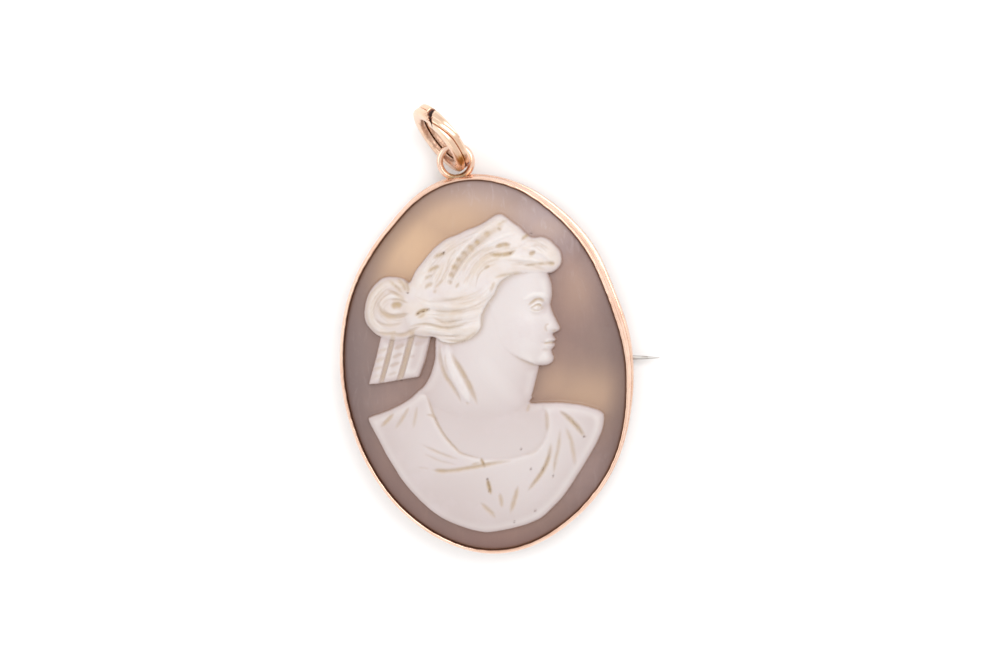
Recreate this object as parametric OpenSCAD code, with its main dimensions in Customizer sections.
// Cameo pendant: a carved shell cameo in a stepped oval collet, with a soldered loop, a double-turn
// split ring and a brooch pin at the back. It lies face up, on its hinge, its catch and its ring.
// X runs along the brooch pin, Y towards the loop, and Z is up, out of the carved face.

/* [Oval] */
// Half width of the oval inside the lip
lip_half_w = 17.4; // [15:0.1:20]
// Height of the oval inside the lip
lip_h = 44.7; // [42:0.1:54]
// Share of that height that lies below the widest line
low_share = 0.485; // [0.46:0.005:0.5]
// Radius of the top arc, as a share of the half width
top_round = 0.72; // [0.66:0.01:0.78]
// Lean of the oval towards the left, in degrees
lean = 3.5; // [-6:0.5:6]

/* [Collet] */
// Height of the collet from its back to the top of its lip
collet_h = 3.5; // [3.4:0.1:5]
// Thickness of the lip
lip_t = 0.24; // [0.2:0.01:0.4]
// How far the lip leans in over the shell's edge
lip_over = 0.12; // [0.06:0.01:0.2]
// How far the bead stands out from the lip
bead_out = 0.16; // [0.1:0.01:0.4]
// Height of the bead under the lip
bead_h = 0.6; // [0.4:0.05:1]
// How far the wall stands back under the bead
wall_back = 0.06; // [0.02:0.01:0.1]
// How far the base band stands out from the wall
base_out = 0.2; // [0.1:0.01:0.5]
// Height of the base band and of the ledge that carries the shell
base_h = 0.9; // [0.6:0.05:1.2]
// Width of the ledge inside the lip line
ledge_w = 1.3; // [0.8:0.1:2.5]

/* [Shell] */
// Clearance between the shell and the metal round it
shell_gap = 0.1; // [0.05:0.01:0.2]
// Thickness of the shell at its edge
shell_edge_t = 1.9; // [1.4:0.1:2]
// Rise of the carved side from the edge to the middle
dome_rise = 3; // [1.5:0.1:4]
// Rise of the hollow back from the edge to the middle
hollow_rise = 2.9; // [1:0.1:3.2]
// Height of the carving at its highest
relief_h = 1.9; // [1:0.1:2.6]

/* [Loop and split ring] */
// Radius of the loop, to the middle of its wire
loop_r = 1.95; // [1.85:0.05:2.6]
// Radius of the loop's wire
loop_wire_r = 0.4; // [0.3:0.01:0.45]
// Turn of the loop from the top of the oval towards the left, in degrees
loop_turn = 7.8; // [-10:0.1:12]
// Outer radius of the split ring
ring_r = 4.65; // [4.4:0.05:6]
// Thickness of the split ring from its hole to its outside
ring_t = 1.55; // [1.2:0.05:1.7]
// Width of one turn of the split ring
coil_w = 0.87; // [0.7:0.01:0.9]
// Gap between its two turns
coil_gap = 0.04; // [0.03:0.01:0.1]
// Clearance between the split ring and the loop's wire, at the ring's middle
ring_gap = 0.4; // [0.36:0.01:0.45]
// Lean of the split ring towards the left, in degrees
ring_lean = 38; // [30:1:42]
// Rise of the split ring's middle above the loop's wire, in degrees
ring_rise = 55; // [50:1:58]
// Lean of the split ring out of upright, in degrees
ring_tip = 22; // [0:1:24]
// Turn of the seam up from the far end of the ring, in degrees
seam_turn = 80; // [60:5:100]

/* [Brooch pin] */
// Height of the pin's line above the middle of the oval
pin_y = 0.6; // [-0.5:0.05:1.5]
// Radius of the pin
pin_r = 0.33; // [0.28:0.01:0.36]
// Distance of the pin's tip from the middle of the oval
tip_x = 21.1; // [20.5:0.1:24]
// Length of the pin's taper
taper_l = 6; // [2:0.5:10]
// Radius of the point
point_r = 0.06; // [0.04:0.01:0.1]
// Drop of the pin's line below the collet's back
hinge_drop = 0.85; // [0.8:0.01:0.9]
// Radius of the hinge knuckles
knuckle_r = 0.95; // [0.92:0.01:1.1]
// Length of one knuckle
knuckle_l = 0.95; // [0.7:0.05:1.4]
// Radius of the pin's eye
eye_r = 0.72; // [0.6:0.01:0.75]
// Length of the pin's eye
eye_l = 1.3; // [1:0.05:2]
// Gap between the eye and each knuckle
eye_gap = 0.08; // [0.05:0.01:0.15]
// Radius of the rivet
rivet_r = 0.35; // [0.3:0.01:0.4]
// Clearance of the rivet in the knuckles
knuckle_gap = 0.02; // [0.01:0.005:0.05]
// Clearance of the rivet in the pin's eye
rivet_gap = 0.05; // [0.03:0.01:0.08]
// Outer radius of the catch
catch_r = 1.05; // [1:0.01:1.1]
// Width of the catch's strip
catch_w = 1.3; // [1:0.1:1.6]
// Distance of the catch's middle inside the lip
catch_in = 0.95; // [0.8:0.05:1.2]
// Thickness of the catch's strip
catch_t = 0.4; // [0.3:0.01:0.45]
// Length of the catch's foot from the pin's line
foot_l = 4.4; // [2:0.1:6]
// Thickness of the catch's foot
foot_t = 0.3; // [0.2:0.01:0.32]

/* [Hidden] */

// Arcs of the oval: the side arcs share one radius and meet the top and bottom arcs in line
low_h = lip_h * low_share;
high_h = lip_h - low_h;
widest_y = low_h - lip_h / 2;
top_r = lip_half_w * top_round;
top_more = high_h - lip_half_w;
low_more = low_h - lip_half_w;
top_c = high_h - top_r;
side_c = top_more * (2 * top_c - top_more) / (2 * (top_c - top_more));
low_c = low_more * (2 * side_c - low_more) / (2 * (side_c - low_more));
low_r = low_h - low_c;
side_r = lip_half_w + side_c;
top_turn = atan2(top_c, side_c);
low_turn = atan2(low_c, side_c);
// Columns: middle x, middle y, radius, first angle, last angle
ARCS = [
    [-side_c, widest_y, side_r, -low_turn, top_turn],
    [0, widest_y + top_c, top_r, top_turn, 180 - top_turn],
    [side_c, widest_y, side_r, 180 - top_turn, 180 + low_turn],
    [0, widest_y - low_c, low_r, 180 + low_turn, 360 - low_turn],
];

// Levels and offsets, outward from the lip's inner edge and up from the collet's back
seat_z = base_h + shell_gap;
shell_top_z = seat_z + shell_edge_t;
lip_under_z = shell_top_z + shell_gap;
lip_out = lip_over + lip_t;
bead_r = lip_out + bead_out;
wall_r = bead_r - wall_back;
base_r = wall_r + base_out;
bead_drop = bead_h / 3;
bead_top_z = lip_under_z - bead_drop;
lip_bevel = lip_t / 4;

// The loop stands on the base band, where the leaning ring passes through it. The ring rests on
// the lowest edge of its section.
ring_in_r = ring_r - ring_t;
hook_l = ring_in_r - loop_wire_r - ring_gap;
coil_step = coil_w + coil_gap;
seam_span = 56;
ring_steps = 100;
section_sides = 10;
section_power = 0.75;
ring_up = hook_l * sin(ring_rise);
ring_z = max([for (p = coil_section())
    (ring_r - ring_t / 2 + p[0]) * cos(ring_tip) + (p[1] + coil_step / 2) * sin(ring_tip)]);
loop_z = ring_z - ring_up * cos(ring_tip);
loop_at = turned([0, widest_y + top_c] + (top_r + base_r + loop_r) * heading(90 + loop_turn), lean);
ring_way = heading(90 + ring_lean);
hook_at = loop_at + loop_r * ring_way;
ring_side = [ring_way[1], -ring_way[0]];
ring_at = hook_at + hook_l * cos(ring_rise) * ring_way + ring_up * sin(ring_tip) * ring_side;

// The hinge sits under the middle of the ledge and the base band, and the catch under the ledge
fitting_in = (ledge_w - base_r) / 2;
hinge_x = -lip_half_w + fitting_in;
catch_x = lip_half_w - catch_in;
hinge_l = eye_l + 2 * eye_gap + 2 * knuckle_l;
catch_in_r = catch_r - catch_t;
catch_from = 20;
catch_to = 244;
fitting_sink = knuckle_r - hinge_drop;
back_z = hinge_drop + max(knuckle_r, -catch_r * sin(catch_to));

// The origin is the middle of the box round the part, on the surface that it lies on
low_arc = turned([0, widest_y - low_c], lean);
left_arc = turned([side_c, widest_y], lean);
box_left = left_arc[0] - side_r - base_r;
box_low = low_arc[1] - low_r - base_r;
ring_reach = norm([ring_way[1], ring_side[1] * sin(ring_tip)]);
box_high = ring_at[1] + max([for (p = coil_section())
    (ring_r - ring_t / 2 + p[0]) * ring_reach
        + (p[1] + coil_step / 2) * ring_side[1] * cos(ring_tip)]);
origin_at = [(box_left + tip_x) / 2, (box_low + box_high) / 2];

// Smoothness
wire_fn = 48;
small_fn = 32;
oval_steps = 20;
bead_slices = 5;
curve_steps = 3;
blob_fn = 8;
cut = 0.01;

// Carving. Places are in hundredths of the oval's half width and half height, from its middle.
// Heights are shares of the carving's height.
per = 100;
PILLOW_SHARES = [1, 1, 0.97, 0.9, 0.78, 0.6, 0.35];
root_h = 0.6;
DRAPERY = [
    [-83, -29], [-81, -35], [-75, -43], [-66, -55], [-52, -70], [-35, -82], [-15, -89], [0, -91],
    [20, -89], [39, -83], [55, -71], [65, -59], [76, -45], [82, -35], [83, -28], [78, -24],
    [65, -22], [39, -21], [30, -17], [0, -12], [-39, -12], [-49, -16], [-59, -21], [-75, -26],
];
NECK = [
    [-37, 16.5], [-35, 11], [-36, 1], [-40, -10], [-42, -18], [-36, -30], [-27, -41], [-12, -48],
    [10, -48], [24, -40], [29, -26], [32, -14], [35, -2], [20, 22], [-10, 30],
];
// The profile is a plain one on textbook proportions
HEAD = [
    [23, 58], [-6, 54], [-14, 31], [-5, 14], [8, 4], [26, 0], [40, 1], [45.5, 5.5], [44, 10.5],
    [47.5, 13.5], [46, 16.5], [49, 19.5], [48, 23], [54, 26.5], [49, 32.5], [44.5, 38.5],
    [46.5, 42], [46, 46], [43, 51.5],
];
HAIR = [
    [-32, 12.5], [-13, 13], [-1, 22], [4, 34], [10, 45], [23, 49.5], [45, 50.5], [52, 55], [53, 60],
    [48, 65], [39, 69], [23, 74], [10, 78], [-5, 76], [-20, 71], [-35, 65], [-45, 56], [-53, 45.5],
    [-56.5, 31], [-49, 18],
];
BUN = [
    [-47, 31.5], [-55, 45], [-66, 48], [-77, 45], [-84, 37], [-86, 28], [-84, 21], [-75, 15],
    [-63, 13], [-50, 16],
];
// Columns: outline, middle, height at the edge, height at the middle
PILLOWS = [
    [DRAPERY, [0, -50], 0.3, 0.66],
    [NECK, [-5, -12], 0.35, 0.8],
    [HEAD, [18, 28], 0.42, 0.95],
    [HAIR, [0, 50], 0.43, 0.98],
    [BUN, [-66, 31], 0.36, 0.8],
];
// Curved ridges. Columns: start, turning point, end, width, height, where widest
STROKES = [
    // diadem
    [[-24, 42], [-20, 66], [10, 75], 5.5, 1.08, 0.8],
    [[2, 74], [14, 82], [29, 69], 6, 1.02, 0.35],
    // front roll of the hair and the waves over the ear
    [[27, 63], [47, 70], [53, 55], 5, 0.92, 0.5],
    [[48, 53], [26, 58], [14, 45], 4, 0.95, 0.5],
    [[16, 57], [0, 54], [-6, 30], 5, 1.02, 0.5],
    [[20, 63], [-8, 60], [-18, 34], 4, 1.05, 0.5],
    [[6, 40], [-8, 26], [-50, 32], 5, 1.0, 0.4],
    [[2, 30], [-14, 19], [-50, 25], 5, 0.96, 0.4],
    [[-4, 22], [-20, 12], [-46, 20], 4.5, 0.86, 0.4],
    // hair behind the diadem
    [[-4, 71], [-30, 66], [-48, 44], 3.5, 0.9, 0.5],
    [[-12, 66], [-32, 58], [-46, 38], 3.5, 0.98, 0.5],
    [[-20, 58], [-32, 48], [-44, 33], 3.5, 1.0, 0.5],
    // turns of the bun round its hollow
    [[-50, 36], [-62, 54], [-78, 40], 4.5, 0.84, 0.5],
    [[-78, 38], [-88, 22], [-70, 18], 4.5, 0.8, 0.5],
    [[-72, 18], [-56, 12], [-50, 26], 4.5, 0.84, 0.5],
    [[-58, 40], [-70, 40], [-70, 28], 3, 0.92, 0.5],
    [[-70, 28], [-62, 20], [-54, 28], 3, 0.92, 0.5],
    // lock behind the ear
    [[-30, 14], [-24, -6], [-12, -23], 4, 0.94, 0.5],
    // edge and folds of the drapery
    [[-43, -15], [-36, -38], [-10, -50], 2.5, 0.74, 0.6],
    [[-10, -50], [8, -55], [22, -50], 2.5, 0.72, 0.3],
    [[-72, -38], [-30, -44], [-4, -53], 3, 0.7, 0.5],
    [[-64, -54], [-34, -63], [4, -58], 3.5, 0.74, 0.5],
    [[-58, -66], [-30, -78], [2, -72], 4, 0.64, 0.5],
    [[-70, -30], [-66, -40], [-58, -46], 3, 0.58, 0.5],
    [[-58, -24], [-58, -34], [-52, -42], 3, 0.64, 0.5],
    [[46, -25], [50, -48], [22, -76], 4, 0.72, 0.5],
    [[56, -25], [62, -46], [44, -68], 3.5, 0.66, 0.5],
    [[66, -26], [76, -38], [66, -52], 3.5, 0.56, 0.5],
    [[12, -60], [16, -72], [12, -84], 3.5, 0.66, 0.5],
    // brow, eyelids, lips and jaw
    [[29, 44.5], [36, 47], [44.5, 44], 2, 0.88, 0.6],
    [[31.5, 38.5], [37, 42], [43.5, 39.5], 1.5, 0.87, 0.5],
    [[33, 38], [38, 35.8], [42, 37.5], 1.3, 0.85, 0.5],
    [[39.5, 18.7], [44, 20.6], [48, 18.9], 1.5, 0.76, 0.7],
    [[40, 17.4], [44, 14.4], [46.5, 16], 1.6, 0.76, 0.6],
    [[4, 10], [24, 1.5], [40, 5], 3, 0.72, 0.5],
];
// Section of a ridge. Columns: share of its half width, share of it below the ridge's top
RIDGE = [[-1, -1.6], [-0.75, -0.3], [-0.25, 0], [0.25, 0], [0.75, -0.3], [1, -1.6]];
stroke_links = 6;
stroke_thin = 0.25;
// Short straight features. Columns: places, radius, height
FEATURES = [
    // ribbon tails under the bun
    [[[-73, 12], [-63, 14], [-72, -8.5], [-82, -9.5]], 1.5, 0.42],
    [[[-61, 14], [-52, 16], [-60, -7], [-70, -8]], 1.5, 0.5],
    [[[-50, 16], [-40, 14], [-49, -5.5], [-58, -6.5]], 1.5, 0.58],
    // forehead, eyeball, bridge and wing of the nose, chin and cheek
    [[[24, 47], [38, 48.5]], 5, 0.86],
    [[[38, 38.9], [40.5, 38.6]], 1.6, 0.84],
    [[[45, 38], [50, 28]], 2, 0.7],
    [[[43.5, 25.6], [46.5, 25]], 2, 0.78],
    [[[39, 6.5], [42, 7]], 3.4, 0.7],
    [[[20, 28], [30, 26]], 7, 0.93],
];
blob_flat = 0.7;

function heading(a) = [cos(a), sin(a)];
function turned(p, a) = [p[0] * cos(a) - p[1] * sin(a), p[0] * sin(a) + p[1] * cos(a)];
function mixed(a, b, t) = a + (b - a) * t;

// The oval at a distance outside the lip's inner edge
function oval(out) = [for (a = ARCS) for (k = [0 : oval_steps - 1])
    [a[0], a[1]] + (a[2] + out) * heading(mixed(a[3], a[4], k / oval_steps))];

// A closed smooth curve through the points of a list
function curve_at(a, b, c, d, t) =
    0.5 * (2 * b + (c - a) * t + (2 * a - 5 * b + 4 * c - d) * t * t + (3 * b - a - 3 * c + d) * t * t * t);
function smooth(list) = let (n = len(list)) [for (i = [0 : n - 1]) for (k = [0 : curve_steps - 1])
    curve_at(list[(i + n - 1) % n], list[i], list[(i + 1) % n], list[(i + 2) % n], k / curve_steps)];

// A place of the carving's tables, the plain ground's level there, and a width of the tables
function place(p) = [p[0] * lip_half_w, p[1] * lip_h / 2] / per;
function ground(p) = shell_top_z + dome_rise
    * (1 - pow(p[0] / lip_half_w, 2) - pow(2 * p[1] / lip_h, 2));
function width(w) = w * lip_half_w / per;
function bend(a, b, c, t) = mixed(mixed(a, b, t), mixed(b, c, t), t);

// Section of one turn of the split ring: out from its middle, and across
function rounded(v) = sign(v) * pow(abs(v), section_power);
function coil_section() = [for (k = [0 : section_sides - 1]) let (a = 360 * (k + 0.5) / section_sides)
    [rounded(cos(a)) * ring_t / 2, rounded(sin(a)) * coil_w / 2]];
function eased(t) = let (u = min(max(t, 0), 1)) u * u * (3 - 2 * u);
function coil_across(a) = coil_step * (eased((a - 360) / seam_span + 0.5) - 0.5);

// Rings of points from the bottom to the top, closed by one point below and one above
module stack(rings, below, above) {
    n = len(rings[0]);
    m = len(rings);
    points = concat([for (r = rings) for (p = r) p], [below, above]);
    sides = [for (j = [0 : m - 2]) for (i = [0 : n - 1]) let (k = (i + 1) % n)
        each [[j * n + i, (j + 1) * n + i, (j + 1) * n + k], [j * n + i, (j + 1) * n + k, j * n + k]]];
    bottom = [for (i = [0 : n - 1]) [i, (i + 1) % n, m * n]];
    top = [for (i = [0 : n - 1]) [(m - 1) * n + i, m * n + 1, (m - 1) * n + (i + 1) % n]];
    polyhedron(points, concat(sides, bottom, top));
}

// Collet

// Bands of the collet from the bottom up. Columns: lowest, highest, inner offset, outer offset
function collet_bands() = concat(
    [[0, base_h, -ledge_w, base_r],
     [base_h, bead_top_z - bead_h, lip_over, wall_r]],
    [for (k = [0 : bead_slices - 1]) let (u = abs(2 * (k + 0.5) / bead_slices - 1))
        [bead_top_z - bead_h * (1 - k / bead_slices),
         bead_top_z - bead_h * (1 - (k + 1) / bead_slices),
         lip_over, mixed(bead_r, wall_r, u * u)]],
    [[bead_top_z, lip_under_z, lip_over, lip_out],
     [lip_under_z, collet_h - lip_bevel, 0, lip_out],
     [collet_h - lip_bevel, collet_h, lip_bevel, lip_out - lip_bevel]]);

module collet_ring() {
    rotate([0, 0, lean])
        for (b = collet_bands())
            translate([0, 0, b[0]])
                linear_extrude(height = b[1] - b[0])
                    difference() {
                        polygon(oval(b[3]));
                        polygon(oval(b[2]));
                    }
}

module loop() {
    translate([loop_at[0], loop_at[1], loop_z - back_z])
        rotate_extrude($fn = wire_fn)
            translate([loop_r, 0])
                circle(r = loop_wire_r, $fn = small_fn);
}

module knuckle(y) {
    translate([hinge_x, y, -hinge_drop])
        rotate([-90, 0, 0])
            cylinder(h = knuckle_l, r = knuckle_r, $fn = wire_fn);
}

module catch() {
    translate([catch_x - catch_w / 2, pin_y, -hinge_drop])
        rotate([90, 0, 90])
            rotate([0, 0, catch_from])
                rotate_extrude(angle = catch_to - catch_from, $fn = wire_fn)
                    translate([catch_in_r, 0])
                        square([catch_t, catch_w]);
    translate([catch_x - catch_w / 2, pin_y, -foot_t])
        cube([catch_w, foot_l, foot_t + fitting_sink]);
}

module collet() {
    color("#dcaa92")
        translate([-origin_at[0], -origin_at[1], back_z])
            difference() {
                union() {
                    collet_ring();
                    loop();
                    catch();
                    knuckle(pin_y - hinge_l / 2);
                    knuckle(pin_y + hinge_l / 2 - knuckle_l);
                }
                translate([hinge_x, pin_y - hinge_l / 2 - cut, -hinge_drop])
                    rotate([-90, 0, 0])
                        cylinder(h = hinge_l + 2 * cut, r = rivet_r + knuckle_gap, $fn = small_fn);
            }
}

// Shell cameo

module plate() {
    shares = [1, 0.8, 0.6, 0.4, 0.2];
    rim = oval(lip_over - shell_gap);
    under = [for (j = [len(shares) - 1 : -1 : 0]) let (s = shares[j])
        [for (p = rim) [p[0] * s, p[1] * s, seat_z + hollow_rise * (1 - s * s)]]];
    over = [for (s = shares)
        [for (p = rim) [p[0] * s, p[1] * s, shell_top_z + dome_rise * (1 - s * s)]]];
    rotate([0, 0, lean])
        stack(concat(under, over), [0, 0, seat_z + hollow_rise], [0, 0, shell_top_z + dome_rise]);
}

module pillow(outline, middle, edge, crown) {
    m = place(middle);
    rim = smooth([for (p = outline) place(p)]);
    rings = [for (j = [0 : len(PILLOW_SHARES) - 1])
        let (s = PILLOW_SHARES[j])
            [for (p = rim)
                let (q = mixed(m, p, s), h = relief_h * mixed(edge, crown, sqrt(1 - s * s)))
                    [q[0], q[1], ground(q) + (j == 0 ? -root_h : h)]]];
    stack(rings, [m[0], m[1], ground(m) - root_h], [m[0], m[1], ground(m) + relief_h * crown]);
}

// A ridge along a curve, with its ends thin and low
module stroke(from, by, to, w, height, widest) {
    ends = [place(from), place(by), place(to)];
    n = len(RIDGE);
    rings = [for (k = [0 : stroke_links])
        let (t = k / stroke_links,
            off = t < widest ? 1 - t / widest : (t - widest) / (1 - widest),
            r = mixed(1, stroke_thin, off * off) * width(w),
            middle = bend(ends[0], ends[1], ends[2], t),
            way = mixed(ends[1] - ends[0], ends[2] - ends[1], t),
            across = [-way[1], way[0]] / norm(way),
            drop = off * off * width(w))
            [for (p = RIDGE) let (q = middle + across * p[0] * r)
                [q[0], q[1], ground(q) + relief_h * height - drop + p[1] * r]]];
    sides = [for (k = [0 : stroke_links - 1]) for (j = [0 : n - 1]) let (i = (j + 1) % n)
        each [[k * n + j, k * n + i, (k + 1) * n + i], [k * n + j, (k + 1) * n + i, (k + 1) * n + j]]];
    caps = [for (j = [1 : n - 2]) each
        [[0, j + 1, j], [stroke_links * n, stroke_links * n + j, stroke_links * n + j + 1]]];
    polyhedron([for (r = rings) for (p = r) p], concat(sides, caps));
}

module feature(places, w, height) {
    r = width(w);
    hull()
        for (p = places) {
            q = place(p);
            translate([q[0], q[1], ground(q) + relief_h * height - r * blob_flat])
                scale([1, 1, blob_flat])
                    sphere(r = r, $fn = blob_fn);
        }
}

module shell_cameo() {
    color("#c9a08f")
        translate([-origin_at[0], -origin_at[1], back_z]) {
            plate();
            for (p = PILLOWS)
                pillow(p[0], p[1], p[2], p[3]);
            for (s = STROKES)
                stroke(s[0], s[1], s[2], s[3], s[4], s[5]);
            for (f = FEATURES)
                feature(f[0], f[1], f[2]);
        }
}

// Split ring: one wire of two turns, which crosses from one side to the other at the seam

module split_ring() {
    first = seam_span / 2 + 1;
    last = 720 - first;
    middle_r = ring_r - ring_t / 2;
    section = coil_section();
    n = section_sides;
    turns = [for (i = [0 : ring_steps]) let (a = mixed(first, last, i / ring_steps))
        [for (p = section)
            [(middle_r + p[0]) * cos(a), (middle_r + p[0]) * sin(a), coil_across(a) + p[1]]]];
    points = [for (t = turns) for (p = t) p];
    sides = [for (i = [0 : ring_steps - 1]) for (j = [0 : n - 1]) let (k = (j + 1) % n)
        each [[i * n + j, i * n + k, (i + 1) * n + k], [i * n + j, (i + 1) * n + k, (i + 1) * n + j]]];
    ends = [[for (j = [n - 1 : -1 : 0]) j], [for (j = [0 : n - 1]) ring_steps * n + j]];
    color("#e0b48c")
        translate([ring_at[0] - origin_at[0], ring_at[1] - origin_at[1], ring_z])
            rotate(a = ring_tip, v = [ring_way[0], ring_way[1], 0])
                rotate([0, 0, 90 + ring_lean])
                    rotate([90, 0, 0])
                        rotate([0, 0, seam_turn])
                            polyhedron(points, concat(sides, ends));
}

// Brooch pin

module brooch_pin() {
    stem_l = tip_x - hinge_x - taper_l;
    color("#9a9a98")
        translate([hinge_x - origin_at[0], pin_y - origin_at[1], back_z - hinge_drop])
            difference() {
                union() {
                    translate([0, -eye_l / 2, 0])
                        rotate([-90, 0, 0])
                            cylinder(h = eye_l, r = eye_r, $fn = wire_fn);
                    rotate([0, 90, 0])
                        cylinder(h = stem_l, r = pin_r, $fn = small_fn);
                    translate([stem_l, 0, 0])
                        rotate([0, 90, 0])
                            cylinder(h = taper_l - point_r, r1 = pin_r, r2 = point_r, $fn = small_fn);
                    translate([stem_l + taper_l - point_r, 0, 0])
                        sphere(r = point_r, $fn = small_fn);
                }
                translate([0, -eye_l / 2 - cut, 0])
                    rotate([-90, 0, 0])
                        cylinder(h = eye_l + 2 * cut, r = rivet_r + rivet_gap, $fn = small_fn);
            }
}

module hinge_rivet() {
    color("#b98f78")
        translate([hinge_x - origin_at[0], pin_y - hinge_l / 2 - origin_at[1], back_z - hinge_drop])
            rotate([-90, 0, 0])
                cylinder(h = hinge_l, r = rivet_r, $fn = small_fn);
}

collet();
shell_cameo();
split_ring();
brooch_pin();
hinge_rivet();
